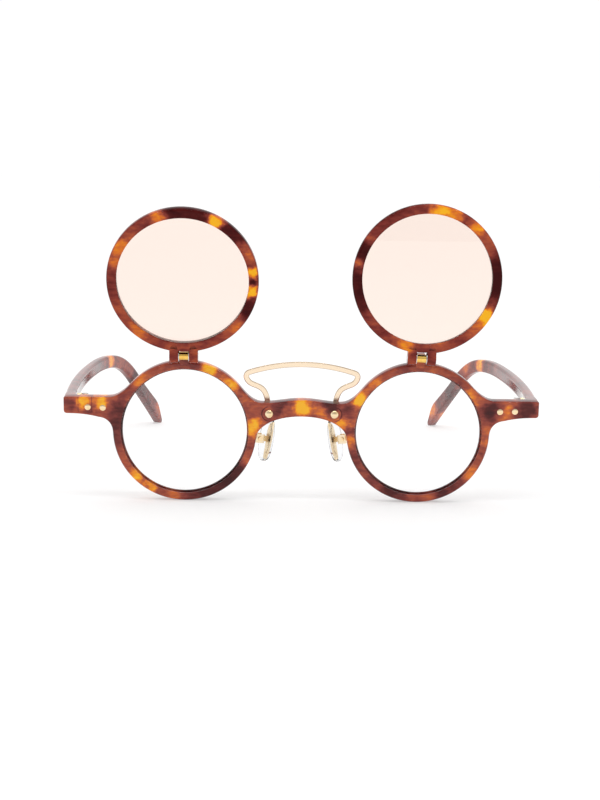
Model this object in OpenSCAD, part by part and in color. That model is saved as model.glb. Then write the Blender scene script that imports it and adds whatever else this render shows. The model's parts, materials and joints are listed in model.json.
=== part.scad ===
// Round acetate spectacles with two tinted lens rims that flip up on their own top hinges.
// X to the viewer's right, Y from the front to the back, Z up; millimetres.

/* [Front] */
// Overall width over the end pieces
front_w = 140; // [134:1:170]
// Distance between the two lens centres
lens_pitch = 69; // [67:0.5:74]
// Diameter of each lens opening in the front
opening_d = 37.7; // [31:0.1:39]
// Width of the rim around each opening
rim_w = 2.35; // [2:0.05:2.8]
// Thickness of the acetate front
front_t = 4; // [3.4:0.1:4.8]
// Forward lean of the front, in degrees
lean = 3.8; // [0:0.1:6]
// Radius on the rims' edges
edge_r = 0.9; // [0.5:0.1:1.2]

/* [Bridge] */
// Height of the bridge's top edge above the lens centres
bridge_top = 9.8; // [8.5:0.1:10.5]
// Drop of the top edge on each side of the middle
bridge_dip = 1.05; // [0.5:0.05:1.5]
// Height of the bridge's arch above the lens centres
bridge_low = 4.8; // [3.5:0.1:5]
// Distance of each bridge rivet from the middle
eyelet_x = 9.65; // [9:0.05:10.3]
// Diameter of a bridge rivet's ball head
ball_d = 2.55; // [2:0.05:3]
// Diameter of a bridge rivet's shank
bridge_rivet_d = 1.3; // [1:0.05:1.6]
// Height of the bridge rivets above the lens centres
eyelet_z = 5.6; // [5.3:0.05:6.2]

/* [End pieces] */
// Height of the end pieces' top edge above the lens centres
end_top = 10.1; // [9.4:0.1:11]
// Height of an end piece at its outer end
end_h = 5; // [4.9:0.1:5.6]
// Diameter of the hinge rivets
rivet_d = 1.85; // [1.4:0.05:2.2]
// Distance from an end piece's outer edge to its first rivet
rivet_inset = 7.1; // [6.9:0.1:7.6]
// Distance between the two rivets of a hinge
rivet_pitch = 4.4; // [3.8:0.1:5]

/* [Lenses] */
// Thickness of the clear lenses
lens_t = 2; // [1.6:0.1:2.2]
// Thickness of the tinted lenses
tint_t = 1.5; // [1.2:0.1:1.8]
// Depth of the lens groove
groove = 0.5; // [0.3:0.05:0.7]
// Radius of the lenses' front curve
base_r = 250; // [180:10:400]

/* [Flip rims] */
// Diameter of the opening in a flip rim
flip_opening_d = 37.6; // [31:0.1:39]
// Width of a flip rim around its opening
flip_rim_w = 2.85; // [2.4:0.05:3.2]
// Thickness of a flip rim
flip_t = 3; // [2.4:0.1:3.4]
// Distance from a hinge pin to the lens centre
drop = 23.2; // [22.9:0.1:26]
// Distance between the front's face and the hinge pin
pin_ahead = 2.35; // [2.3:0.05:3]
// Angle of the left rim ahead of the front's plane
left_ahead = 11.5; // [0:0.5:30]
// Angle of the right rim behind the front's plane
right_behind = 2.5; // [0:0.5:4]
// Sideways tilt of the right hinge, in degrees
right_tilt = 2.5; // [0:0.5:3]

/* [Flip hinges] */
// Diameter of a hinge pin
pin_d = 1.2; // [1:0.05:1.5]
// Diameter of the barrel on the front
barrel_d = 2.3; // [2.1:0.05:2.6]
// Width of the barrel
barrel_w = 2.6; // [2.2:0.1:3.2]
// Width of each prong of the fork
prong_w = 2.6; // [2.2:0.1:3]
// Radius of the fork around the pin
fork_r = 2.05; // [1.8:0.05:2.15]
// Radius of the notch between the prongs
notch_r = 2.4; // [2.3:0.05:2.5]
// Thickness of a friction washer
washer_t = 0.2; // [0.15:0.05:0.3]
// Running gap beside the barrel and around the pins
gap = 0.03; // [0.02:0.01:0.06]

/* [Temples] */
// Thickness of a temple
temple_t = 3.2; // [2.8:0.1:3.6]
// Height of a temple at its hinge
temple_h = 4.7; // [4.6:0.1:5]
// Height of a temple from the bend on
drop_h = 4.5; // [4.2:0.1:5]
// Distance from the front to the start of the bend
bend_y = 78; // [65:1:96]
// Outward bow of a temple half way to the bend
bow = 2.5; // [0:0.1:4]
// Inward turn of a temple's tip from its hinge end
tip_in = 17; // [12:0.5:20]
// Thickness of the core wire
core_t = 1.1; // [0.9:0.1:1.3]

/* [Temple hinges] */
// Distance from a temple's middle to its hinge axis
hinge_in = 4.0; // [3.8:0.1:4.4]
// Diameter of the knuckles
knuckle_d = 2.3; // [2.1:0.1:2.6]
// Height of each of the three knuckles
knuckle_h = 1.5; // [1.2:0.1:1.5]
// Diameter of the hinge screw
screw_d = 1.2; // [1:0.05:1.4]
// Thickness of the hinge plates
plate_t = 0.8; // [0.6:0.1:0.9]
// Length of a hinge plate on its temple
plate_l = 17; // [13:0.5:18]

/* [Brow wire and pads] */
// Width of the brow wire's flat strip
strip_w = 1.6; // [1.2:0.1:1.8]
// Thickness of the brow wire
strip_t = 0.6; // [0.4:0.1:0.8]
// Height of the brow wire's top above the lens centres
loop_top = 20.5; // [19.5:0.1:22]
// Half width of the brow wire's loop
loop_half = 17.4; // [16.5:0.1:18]
// Length of a nose pad
pad_l = 14; // [12:0.5:15]
// Width of a nose pad
pad_w = 7; // [6:0.5:7.5]
// Thickness of a nose pad
pad_t = 2.2; // [2:0.1:2.6]
// Distance between the middles of the nose pads
pad_apart = 20.8; // [20:0.2:23]

/* [Hidden] */
$fn = 64;

LEFT = -1;
RIGHT = 1;
eps = 0.01;
big = 400;

// Front: sizes worked out from the values above
half = lens_pitch / 2;
open_r = opening_d / 2;
rim_r = open_r + rim_w;
end_x = front_w / 2;
lens_fit = 0.03;
rivet_down = 3.05;
rivet_drift = 0.15;
eyelet_r = 2.1;
flip_open_r = flip_opening_d / 2;
flip_r = flip_open_r + flip_rim_w;
lens_line = rim_r * cos(lean) + (front_t / 2 - edge_r) * sin(lean) + edge_r * (1 - cos(lean));
pin_y = -front_t / 2 - pin_ahead;

// Temples: the middle of the hinge end, the top edge and the places along the bend
temple_x = end_x - temple_t / 2;
step_down = 0.25;
temple_top = lens_line + end_top * cos(lean) - step_down;
butt_gap = 0.2;
hinge_x = temple_x - hinge_in;
end_back_y = front_t / 2 - (end_top - end_h / 2) * sin(lean);
knuckle_gap = 0.45;
hinge_y = end_back_y + plate_t + knuckle_d / 2 + knuckle_gap;
slope = 43;
corner_z = 8;
bend_run = 38;
bend_fall = 9.2;
corner_run = 2.9;
bend_end = [bend_y + bend_run, temple_top - bend_fall];
drop_run = (bend_end[1] - corner_z) / tan(slope);
tip_y = bend_end[0] + drop_run + corner_run;
core_y = 24;
lean_out = left_ahead + lean;
front_y = pin_y * cos(lean) - drop * sin(lean) - (drop + flip_r - edge_r) * sin(lean_out)
    - (flip_t / 2 - edge_r) * cos(lean_out) - edge_r;
shift_y = -(front_y + tip_y) / 2;

// Hinge screw, pads and brow wire
knuckle_z = temple_top - 1.5 * knuckle_h - step_down;
pad_y = 6.6;
pad_z = -4;
pad_lean = 10;
pad_splay = 28;
box_w = 2.6;
box_out = pad_t / 2 + 0.3 + box_w / 2;
pad_pin_d = 0.9;

function bezier(a, b, c, d, n) = [for (i = [0:n]) let (t = i / n, u = 1 - t)
    u * u * u * a + 3 * u * u * t * b + 3 * u * t * t * c + t * t * t * d];
function arc(c, r, a0, a1, n) = [for (i = [0:n]) let (a = a0 + (a1 - a0) * i / n) c + r * [cos(a), sin(a)]];
function flipped(p) = [for (i = [len(p) - 1:-1:0]) p[i]];
function mirrored(p) = [for (i = [len(p) - 1:-1:0]) [-p[i][0], p[i][1]]];
function unit(v) = v / norm(v);
function heading(p, i) = unit(p[min(i + 1, len(p) - 1)] - p[max(i - 1, 0)]);
// The points of a line moved sideways, to the left of its heading, by w
function beside(p, w) = [for (i = [0:len(p) - 1]) let (h = heading(p, i)) p[i] + w * [-h[1], h[0]]];
// A line without its repeated points
function spaced(p) = [for (i = [0:len(p) - 1]) if (i == 0 || norm(p[i] - p[max(i - 1, 0)]) > eps) p[i]];
function on_rim(a) = [half + rim_r * cos(a), rim_r * sin(a)];

// Places: the model's own frame, the leaning front, a lens, a bridge rivet, a flip hinge and a flip rim
module seat() translate([0, shift_y, 0]) children();
module on_front() seat() translate([0, 0, lens_line]) rotate([lean, 0, 0]) children();
module at_lens(side) on_front() translate([side * half, 0, 0]) children();
module at_eyelet(side) on_front() translate([side * eyelet_x, 0, eyelet_z]) children();
module at_hinge(side) on_front() translate([side * half, pin_y, drop])
    rotate([0, side == RIGHT ? right_tilt : 0, 0]) children();
module on_flip(side) at_hinge(side) rotate([side == LEFT ? left_ahead : -right_behind, 0, 0]) children();
// An outline drawn in X and Z, made t thick about y
module slab(t, y = 0) translate([0, y + t / 2, 0]) rotate([90, 0, 0]) linear_extrude(t) children();
module across(side) mirror([side == LEFT ? 1 : 0, 0, 0]) children();
module pin_along_y(d, y0, y1) translate([0, y0, 0]) rotate([-90, 0, 0]) cylinder(d = d, h = y1 - y0);
module pin_along_x(d, x0, x1) translate([x0, 0, 0]) rotate([0, 90, 0]) cylinder(d = d, h = x1 - x0);

// A disc with rounded edges, its axis along Y
module round_disc(r, t, e) {
    h = t / 2;
    edges = concat(arc([r - e, e - h], e, -90, 0, 4), arc([r - e, h - e], e, 0, 90, 4));
    rotate([90, 0, 0]) rotate_extrude($fn = 128) polygon(concat([[0, -h]], edges, [[0, h]]));
}

// The opening of a rim with its lens groove
module lens_seat(r, t) {
    rotate([90, 0, 0]) {
        cylinder(r = r, h = t + 2, center = true, $fn = 128);
        rotate_extrude($fn = 128)
            polygon([[0, -groove], [r, -groove], [r + groove, 0], [r, groove], [0, groove]]);
    }
}

// A lens for an opening of radius opening: a shallow meniscus with a bevelled edge, its front towards -Y
module lens(opening, t) {
    r = opening - lens_fit;
    e = r + groove;
    sag = base_r - sqrt(base_r * base_r - r * r);
    span = asin(r / base_r);
    front = arc([0, sag + t / 2 - base_r], base_r, 90 - span, 90, 6);
    back = arc([0, sag - t / 2 - base_r], base_r, 90, 90 - span, 6);
    rotate([90, 0, 0]) rotate_extrude($fn = 128)
        polygon(concat(front, back, [[r, -groove], [e, 0], [r, groove]]));
}

module bridge_outline() {
    flank = on_rim(140);
    dip = [half - rim_r - 1.8, bridge_top - bridge_dip];
    foot = on_rim(185);
    top = concat(bezier([0, bridge_top], [4, bridge_top], dip - [4, 0], dip, 8),
        bezier(dip, dip + [2.5, 0], flank - 4 * [sin(40), cos(40)], flank, 8));
    arch = bezier([0, bridge_low], [7.5, bridge_low], [foot[0] - 0.4, 2], foot, 12);
    side = concat(top, [[half, 0]], flipped(arch));
    polygon(concat(side, mirrored(side)));
}

module end_outline() {
    r = 0.9;
    shoulder = on_rim(42);
    foot = on_rim(-2);
    low = end_top - end_h;
    polygon(concat([[half, 0]], bezier(shoulder, shoulder + 3.2 * [sin(42), -cos(42)],
            [shoulder[0] + 4.3, end_top], [shoulder[0] + 6.7, end_top], 8),
        arc([end_x - 0.5, end_top - 0.5], 0.5, 90, 0, 4), arc([end_x - r, low + r], r, 0, -90, 5),
        bezier([foot[0] + 4.3, low - 1], [foot[0] + 1.6, low - 1.3], [foot[0] + 0.2, 2.4], foot, 8)));
}

// The lug that carries a flip barrel, drawn across Y and Z from the pin's axis
module lug() {
    deep = pin_ahead + front_t / 2;
    low = rim_r - rim_w / 2 - drop;
    rotate([90, 0, 90]) linear_extrude(barrel_w, center = true)
        polygon(concat([[pin_ahead - 0.6, low], [pin_ahead - 0.6, 0.6]], arc([deep, 0], 1, 90, 0, 5),
            [[deep + 1, low]]));
}

module barrel_tang() translate([-0.8, 0, -0.6]) cube([1.6, pin_ahead + 1.4, 1.2]);

module rivet_holes(d) {
    for (i = [0, 1])
        translate([end_x - rivet_inset - i * rivet_pitch, 0, end_top - rivet_down - i * rivet_drift])
            pin_along_y(d, -front_t / 2, front_t / 2 + plate_t);
}

module front() {
    color("saddlebrown") difference() {
        union() {
            for (side = [LEFT, RIGHT]) at_lens(side) round_disc(rim_r, front_t, edge_r);
            on_front() slab(front_t) bridge_outline();
            on_front() for (side = [LEFT, RIGHT]) across(side) slab(front_t) end_outline();
            for (side = [LEFT, RIGHT]) at_hinge(side) lug();
        }
        for (side = [LEFT, RIGHT]) {
            at_lens(side) lens_seat(open_r, front_t);
            at_hinge(side) barrel_tang();
            on_front() across(side) rivet_holes(rivet_d);
            at_eyelet(side) pin_along_y(bridge_rivet_d, -front_t / 2 - 1, front_t / 2 + 1);
        }
    }
}

module clear_lens(side) color([0.9, 0.95, 1, 0.4]) at_lens(side) lens(open_r, lens_t);

module flip_barrel(side) {
    color("gold") at_hinge(side) difference() {
        union() {
            pin_along_x(barrel_d, -barrel_w / 2, barrel_w / 2);
            barrel_tang();
        }
        pin_along_x(pin_d + 2 * gap, -barrel_w, barrel_w);
    }
}

// Flip rims
fork_in = barrel_w / 2 + washer_t + gap + 0.02;
fork_out = fork_in + prong_w;
head_d = pin_d + 0.8;
head_t = 0.5;
washer_d = 3.2;

module flip_rim(side) {
    color("sienna") on_flip(side) difference() {
        union() {
            translate([0, 0, drop]) round_disc(flip_r, flip_t, edge_r);
            for (s = [LEFT, RIGHT]) across(s) {
                pin_along_x(2 * fork_r, fork_in, fork_out);
                translate([fork_in, -flip_t / 2, 0]) cube([prong_w, flip_t, drop - flip_r + flip_rim_w]);
            }
        }
        translate([0, 0, drop]) lens_seat(flip_open_r, flip_t);
        pin_along_x(2 * notch_r, -fork_in, fork_in);
        pin_along_x(pin_d, -fork_out - 1, fork_out + 1);
        pin_along_x(head_d, fork_out - head_t, fork_out + 1);
    }
}

module flip_lens(side) color([1, 0.85, 0.78, 0.6])
    on_flip(side) translate([0, 0, drop]) lens(flip_open_r, tint_t);

module flip_pin(side) {
    color("goldenrod") on_flip(side) difference() {
        union() {
            pin_along_x(pin_d, -fork_out, fork_out - head_t);
            pin_along_x(head_d, fork_out - head_t, fork_out);
        }
        translate([fork_out - 0.2, -head_d, -0.15]) cube([1, 2 * head_d, 0.3]);
    }
}

module flip_washers(side) {
    color("silver") on_flip(side) for (s = [LEFT, RIGHT]) across(s) difference() {
        pin_along_x(washer_d, fork_in - washer_t, fork_in);
        pin_along_x(pin_d, 0, fork_out);
    }
}

// Temple hinges: three knuckles about an upright axis, the middle one on the temple
module at_axis(side) seat() across(side) translate([hinge_x, hinge_y, knuckle_z]) children();
module knuckle(level) {
    translate([0, 0, (level - 0.5) * knuckle_h + (level == 0 ? gap : 0)])
        cylinder(d = knuckle_d, h = knuckle_h - (level == 0 ? 2 * gap : 0));
}

module front_plate_outline() {
    r = end_h / 2 - 0.5;
    low = end_top - 0.5 - 2 * r;
    polygon(concat([[hinge_x + knuckle_d / 2, end_top - 0.5]], [[hinge_x + knuckle_d / 2, low]],
        arc([end_x - rivet_inset - rivet_pitch - 0.2, low + r], r, 270, 90, 12)));
}

module front_hinge(side) {
    color("silver") difference() {
        union() {
            on_front() across(side) slab(plate_t, front_t / 2 + plate_t / 2) front_plate_outline();
            at_axis(side) for (level = [-1, 1]) {
                knuckle(level);
                translate([-knuckle_d / 2, end_back_y + plate_t / 2 - hinge_y, (level - 0.5) * knuckle_h])
                    cube([knuckle_d, hinge_y - end_back_y - plate_t / 2, knuckle_h]);
            }
        }
        on_front() across(side) rivet_holes(rivet_d);
        at_axis(side) cylinder(d = screw_d, h = 8 * knuckle_h, center = true);
        on_front() translate([-big / 2, front_t / 2 - big, -big / 2]) cube([big, big, big]);
    }
}

module front_rivets(side) color("khaki") on_front() across(side) rivet_holes(rivet_d);

module temple_screw(side) {
    color("lightgrey") at_axis(side) difference() {
        union() {
            translate([0, 0, -1.5 * knuckle_h]) cylinder(d = screw_d, h = 3 * knuckle_h);
            translate([0, 0, 1.5 * knuckle_h]) cylinder(d = screw_d + 0.8, h = 0.5);
        }
        translate([-2, -0.15, 1.5 * knuckle_h + 0.25]) cube([4, 0.3, 1]);
    }
}

// Temples: the line seen from above, as X and Y, and the top edge seen from the side, as Y and Z
plan_line = spaced(concat(bezier([temple_x, 0], [temple_x + bow, bend_y * 0.3],
        [temple_x + 1.5 * bow, bend_y * 0.66], [temple_x + 0.6 * bow, bend_y], 10),
    bezier([temple_x + 0.6 * bow, bend_y], [temple_x + 0.1 * bow, bend_y + 15],
        [temple_x - 0.37 * tip_in, bend_y + 36], [temple_x - tip_in, tip_y + 1], 14)));
top_edge = concat([[0, temple_top], [bend_y * 0.5, temple_top]],
    bezier([bend_y, temple_top], [bend_y + 18, temple_top], [bend_y + 27, temple_top + 0.3], bend_end, 12),
    [[bend_end[0] + drop_run, corner_z]]);

function under_edge(depth) = [for (i = [0:len(top_edge) - 1]) let (h = heading(top_edge, i),
    d = depth * (i == 0 ? temple_h / drop_h : 1)) top_edge[i] + d * [h[1], -h[0]]];

// Everything along a temple between two distances from its middle line, a to b, seen from above
module plan_band(a, b) translate([0, 0, -1]) linear_extrude(temple_top + 3)
    polygon(concat(beside(plan_line, a), flipped(beside(plan_line, b))));

// An outline drawn in Y and Z, made as wide as the model
module side_slab() rotate([90, 0, 90]) linear_extrude(big, center = true) children();

module temple_outline() {
    r = 0.8;
    polygon(concat(top_edge, arc([tip_y - r, r], r, 20, -130, 8), flipped(under_edge(drop_h))));
}

module core_space() {
    intersection() {
        plan_band(-core_t / 2, core_t / 2);
        side_slab() polygon(concat([for (p = under_edge(drop_h / 2 - core_t / 2)) [max(p[0], core_y), p[1]]],
            flipped([for (p = under_edge(drop_h / 2 + core_t / 2)) [max(p[0], core_y), p[1]]])));
    }
}

module temple_plate() {
    intersection() {
        plan_band(temple_t / 2 - plate_t + 0.2, temple_t / 2 + 0.2);
        side_slab() translate([hinge_y + 0.9, temple_top - temple_h + 0.8]) square([plate_l, temple_h - 1.6]);
    }
}

module temple_rivet_holes() {
    for (i = [0, 1])
        translate([temple_x - temple_t / 2 - 0.2, hinge_y + 7 + 5 * i, temple_top - temple_h / 2])
            pin_along_x(rivet_d - 0.35, 0, temple_t + 0.5 + 0.3 * (i + 1));
}

// What lies behind the butt face of an end piece
module behind_butt()
    on_front() translate([-big / 2, front_t / 2 + butt_gap, -big / 2]) cube([big, big, big]);

module temple(side) {
    color("saddlebrown") difference() {
        intersection() {
            seat() across(side) intersection() {
                plan_band(-temple_t / 2, temple_t / 2);
                side_slab() temple_outline();
            }
            behind_butt();
        }
        seat() across(side) {
            core_space();
            temple_plate();
            temple_rivet_holes();
        }
    }
}

module temple_core(side) color("silver") seat() across(side) core_space();

module temple_hinge(side) {
    color("silver") difference() {
        union() {
            seat() across(side) temple_plate();
            at_axis(side) {
                knuckle(0);
                translate([0, -knuckle_d / 2 + 0.6, -knuckle_h / 2 + gap])
                    cube([hinge_in - temple_t / 2 + plate_t / 2 - 0.1, knuckle_d, knuckle_h - 2 * gap]);
            }
        }
        at_axis(side) cylinder(d = screw_d + 2 * gap, h = 8 * knuckle_h, center = true);
        seat() across(side) temple_rivet_holes();
    }
}

module temple_rivets(side) color("khaki") seat() across(side) temple_rivet_holes();

// Brow wire: a flat strip that loops above the bridge and ends in two eyelet plates behind it
loop_r = 50;
loop_c = [0, loop_top - strip_w / 2 - loop_r];
loop_angle = asin((loop_half - 1.8) / loop_r);
loop_end = loop_c + loop_r * [sin(loop_angle), cos(loop_angle)];
turn_r = 1.3;
turn_c = loop_end - turn_r * [sin(loop_angle), cos(loop_angle)];
turn_end = turn_c + turn_r * [cos(-25), sin(-25)];
neck = [eyelet_x + 3.1, eyelet_z + 7.3];
half_wire = concat(arc(loop_c, loop_r, 90, 90 - loop_angle, 8),
    arc(turn_c, turn_r, 75 - loop_angle, -25, 5),
    bezier(turn_end, turn_end + [-0.7, -1.7], neck + [1.7, 0.8], neck, 6),
    bezier(neck, neck + [-1.7, -0.8], [eyelet_x + 0.5, eyelet_z + 5], [eyelet_x + 0.2, eyelet_z + 0.3], 8));
whole_wire = spaced(concat(mirrored(half_wire), half_wire));
strip_y = front_t / 2 + strip_t / 2;

module brow_wire() {
    color("palegoldenrod") difference() {
        on_front() {
            slab(strip_t, strip_y)
                polygon(concat(beside(whole_wire, strip_w / 2), flipped(beside(whole_wire, -strip_w / 2))));
            for (side = [LEFT, RIGHT]) across(side) {
                slab(strip_t, strip_y) translate([eyelet_x, eyelet_z]) circle(r = eyelet_r);
                slab(strip_t, strip_y) translate([eyelet_x - 0.6, eyelet_z - 3.1]) square([1.6, 3]);
            }
        }
        for (side = [LEFT, RIGHT]) at_eyelet(side) pin_along_y(bridge_rivet_d, 0, front_t);
    }
}

module bridge_rivets() {
    color("khaki") for (side = [LEFT, RIGHT]) at_eyelet(side) {
        pin_along_y(bridge_rivet_d, -front_t / 2 - 0.5, front_t / 2 + strip_t);
        translate([0, -front_t / 2, 0]) intersection() {
            sphere(d = ball_d);
            translate([-ball_d, -ball_d, -ball_d]) cube([2 * ball_d, ball_d, 2 * ball_d]);
        }
        pin_along_y(bridge_rivet_d + 0.6, front_t / 2 + strip_t, front_t / 2 + strip_t + 0.4);
    }
}

// Nose pads: an arm with a box, a screw through the box, a core with a post, and the soft pad
module rod(a, b, d) {
    v = b - a;
    turn = [0, acos(v[2] / norm(v)), atan2(v[1], v[0])];
    translate(a) rotate(turn) cylinder(d = d, h = norm(v), $fn = 24);
}

module pad_box_shell() {
    w = box_w;
    translate([box_out, 0, 0]) difference() {
        translate([-w / 2, -w / 2, -w / 2]) cube([w, w, w]);
        translate([-w / 2 - 1, -w / 2 + 0.5, -w / 2 - 1]) cube([w + 0.5, w - 1, w + 2]);
        pin_along_y(pad_pin_d, -w, w);
    }
}

// A place in a right-hand pad's own frame, given in the front's frame
function from_pad(p) = let (x = p[0] * cos(pad_lean) - p[2] * sin(pad_lean),
    z = p[0] * sin(pad_lean) + p[2] * cos(pad_lean))
    [pad_apart / 2 + x * cos(pad_splay) + p[1] * sin(pad_splay),
        pad_y - x * sin(pad_splay) + p[1] * cos(pad_splay), pad_z + z];

module pad_arm(side) {
    wire = 1;
    knot = 1.16;
    wall = box_out + box_w / 2;
    plate_y = strip_y + strip_t / 2;
    bends = [[eyelet_x + 0.2, plate_y + 0.15, eyelet_z - 2.4], [eyelet_x + 2, pad_y - 2.3, pad_z + 5],
        from_pad([wall + 0.5, 0, 3]), from_pad([wall + 0.1, 0, -0.6])];
    color("palegoldenrod") {
        on_front() across(side) difference() {
            union() {
                for (i = [0:2]) rod(bends[i], bends[i + 1], wire);
                for (i = [0:2]) translate(bends[i]) sphere(d = knot, $fn = 24);
            }
            translate([0, plate_y - 2 * knot, 0]) cube([2 * eyelet_x, 2 * knot, 2 * eyelet_z]);
        }
        at_pad(side) pad_box_shell();
    }
}

module at_pad(side) on_front() across(side) translate([pad_apart / 2, pad_y, pad_z])
    rotate([0, 0, -pad_splay]) rotate([0, -pad_lean, 0]) children();

module pad_screw(side) color("khaki") at_pad(side) translate([box_out, 0, 0]) {
    pin_along_y(pad_pin_d, -box_w / 2, box_w / 2);
    pin_along_y(pad_pin_d + 0.6, -box_w / 2 - 0.35, -box_w / 2);
}

module core_outline() polygon(concat(bezier([-2.9, 5.6], [-1.2, 5.6], [-0.6, 3], [-0.9, 0], 6),
    bezier([-0.9, 0], [-1.2, -3], [-0.6, -5], [-0.9, -5.9], 6), [[-1.6, -5.9]],
    bezier([-2.6, -3], [-3.1, -1], [-3.2, 3], [-2.9, 5.6], 6)));

module pad_core(side) {
    color("khaki") at_pad(side) difference() {
        union() {
            rotate([90, 0, 90]) linear_extrude(0.5, center = true) core_outline();
            translate([0, -0.7, -0.8]) cube([box_out + 0.6, 1.4, 1.6]);
            translate([-0.25, -1.6, -0.8]) cube([0.5, 1.6, 1.6]);
        }
        translate([box_out, 0, 0]) pin_along_y(pad_pin_d + 2 * gap, -box_w, box_w);
    }
}

module pad_outline() {
    w = pad_w / 2;
    l = pad_l / 2;
    down = concat(bezier([0, l], [-2.2, l], [-w, 3.5], [-w, 0], 8),
        bezier([-w, 0], [-w, -4.5], [-2.4, -l], [0, -l], 8));
    up = concat(bezier([0, -l], [2.6, -l], [w, -4.2], [w, -0.8], 8),
        bezier([w, -0.8], [w, 3], [2.2, l], [0, l], 8));
    polygon(concat(down, up));
}

module nose_pad(side) {
    color([0.95, 0.97, 1, 0.6]) at_pad(side) difference() {
        rotate([90, 0, 90]) linear_extrude(pad_t, center = true) pad_outline();
        rotate([90, 0, 90]) linear_extrude(0.5, center = true) core_outline();
        translate([0, -0.7, -0.8]) cube([box_out, 1.4, 1.6]);
        translate([-0.25, -1.6, -0.8]) cube([0.5, 1.6, 1.6]);
    }
}

front();
clear_lens(LEFT);  // lens_left
clear_lens(RIGHT);  // lens_right
flip_barrel(LEFT);  // flip_barrel_left
flip_barrel(RIGHT);  // flip_barrel_right
front_hinge(LEFT);  // front_hinge_left
front_hinge(RIGHT);  // front_hinge_right
front_rivets(LEFT);  // front_rivets_left
front_rivets(RIGHT);  // front_rivets_right
temple_screw(LEFT);  // temple_screw_left
temple_screw(RIGHT);  // temple_screw_right
brow_wire();
bridge_rivets();
pad_arm(LEFT);  // pad_arm_left
pad_arm(RIGHT);  // pad_arm_right
pad_screw(LEFT);  // pad_screw_left
pad_screw(RIGHT);  // pad_screw_right
flip_rim(LEFT);  // flip_rim_left
flip_rim(RIGHT);  // flip_rim_right
flip_lens(LEFT);  // flip_lens_left
flip_lens(RIGHT);  // flip_lens_right
flip_pin(LEFT);  // flip_pin_left
flip_pin(RIGHT);  // flip_pin_right
flip_washers(LEFT);  // flip_washers_left
flip_washers(RIGHT);  // flip_washers_right
temple(LEFT);  // temple_left
temple(RIGHT);  // temple_right
temple_core(LEFT);  // temple_core_left
temple_core(RIGHT);  // temple_core_right
temple_hinge(LEFT);  // temple_hinge_left
temple_hinge(RIGHT);  // temple_hinge_right
temple_rivets(LEFT);  // temple_rivets_left
temple_rivets(RIGHT);  // temple_rivets_right
pad_core(LEFT);  // pad_core_left
pad_core(RIGHT);  // pad_core_right
nose_pad(LEFT);  // nose_pad_left
nose_pad(RIGHT);  // nose_pad_right
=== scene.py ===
"""Looks of the round flip-up spectacles: tortoise acetate, lenses, gilt metal and clear silicone pads.

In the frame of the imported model: X to the viewer's right, Y to the back, Z up. Pieces are drawn in
millimetres and turned into metres by mesh_of. The stage, light and camera are in metres.
"""

import json
import math

import bpy
from mathutils import Matrix, Vector
from mathutils.geometry import delaunay_2d_cdt


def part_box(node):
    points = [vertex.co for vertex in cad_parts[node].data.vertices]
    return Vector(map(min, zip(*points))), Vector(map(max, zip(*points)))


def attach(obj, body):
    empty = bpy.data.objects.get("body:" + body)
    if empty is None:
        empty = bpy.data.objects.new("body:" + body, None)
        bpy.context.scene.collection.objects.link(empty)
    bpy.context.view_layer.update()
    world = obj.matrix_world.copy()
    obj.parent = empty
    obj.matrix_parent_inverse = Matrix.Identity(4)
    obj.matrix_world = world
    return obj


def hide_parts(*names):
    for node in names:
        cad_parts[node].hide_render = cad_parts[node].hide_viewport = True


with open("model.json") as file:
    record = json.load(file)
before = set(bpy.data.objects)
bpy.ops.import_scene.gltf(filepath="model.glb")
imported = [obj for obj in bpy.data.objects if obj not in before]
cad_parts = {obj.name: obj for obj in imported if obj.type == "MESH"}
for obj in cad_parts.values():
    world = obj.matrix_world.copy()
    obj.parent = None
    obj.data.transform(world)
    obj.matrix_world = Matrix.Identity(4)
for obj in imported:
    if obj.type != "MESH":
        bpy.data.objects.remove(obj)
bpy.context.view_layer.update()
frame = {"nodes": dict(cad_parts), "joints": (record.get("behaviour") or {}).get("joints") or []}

MM = 0.001
LEFT, RIGHT = -1, 1
SIDES = {"left": LEFT, "right": RIGHT}

# The acetate front
FRONT_T = 4.0
RIM_W = 2.35
FLIP_RIM_W = 2.85
FLIP_T = 3.0
GROOVE = 0.5
EDGE = 0.9
SMALL_EDGE = 0.42
EDGE_BLEND = 1.5
INNER_EDGE = 0.3
SUPPORT = 0.05
BRIDGE_TOP = 9.8
BRIDGE_DIP = 1.05
BRIDGE_LOW = 4.8
END_TOP = 10.1
END_H = 5.0
END_CORNER = 0.5
END_FOOT = 0.9
LENS_T = 2.0
FLIP_LENS_T = 1.5
LENS_PLAY = 0.03
LENS_CURVE = 250.0

# Where the bridge and the end pieces leave a right-hand rim, in degrees anticlockwise from the viewer's right
BRIDGE_FLANK = 140
BRIDGE_FOOT = 185
END_SHOULDER = 42
END_LOW = -2

# The flip hinges
BARREL_W = 2.6
PRONG_W = 2.6
PRONG_R = 2.05
NOTCH_R = 2.4
PRONG_EDGE = 0.25
FORK_IN = 1.55
LUG_FROM = 1.75
LUG_BACK = 1.0
LUG_OVER = 0.9
LUG_CORNER = 0.5
LUG_EDGE = 0.2

# The temples
TEMPLE_T = 3.2
TEMPLE_H = 4.7
DROP_H = 4.5
BUTT_GAP = 0.2
BEND_Y = 78.0
BOW = 2.5
TIP_IN = 17.0
SLOPE = 43.0
CORNER_Z = 8.0
LEVEL_UNDER = 0.25
DROP_FROM = 38.0
DROP_DEPTH = 9.3
TIP_R = 0.8
TIP_BACK = 1.5
TIP_UP = 0.85
TEMPLE_EDGE = 1.0
BUTT_EDGE = 0.25
BUTT_SQUARE = 4.0
BUTT_BLEND = 6.0
TIP_EDGE = 0.4
TIP_EDGE_FROM = 5.0
TIP_EDGE_GROWTH = 0.08

# Rivets, brow wire and pads
RIVET_D = 1.85
RIVET_DOME = 0.12
RIVET_BEHIND = 0.8
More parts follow.
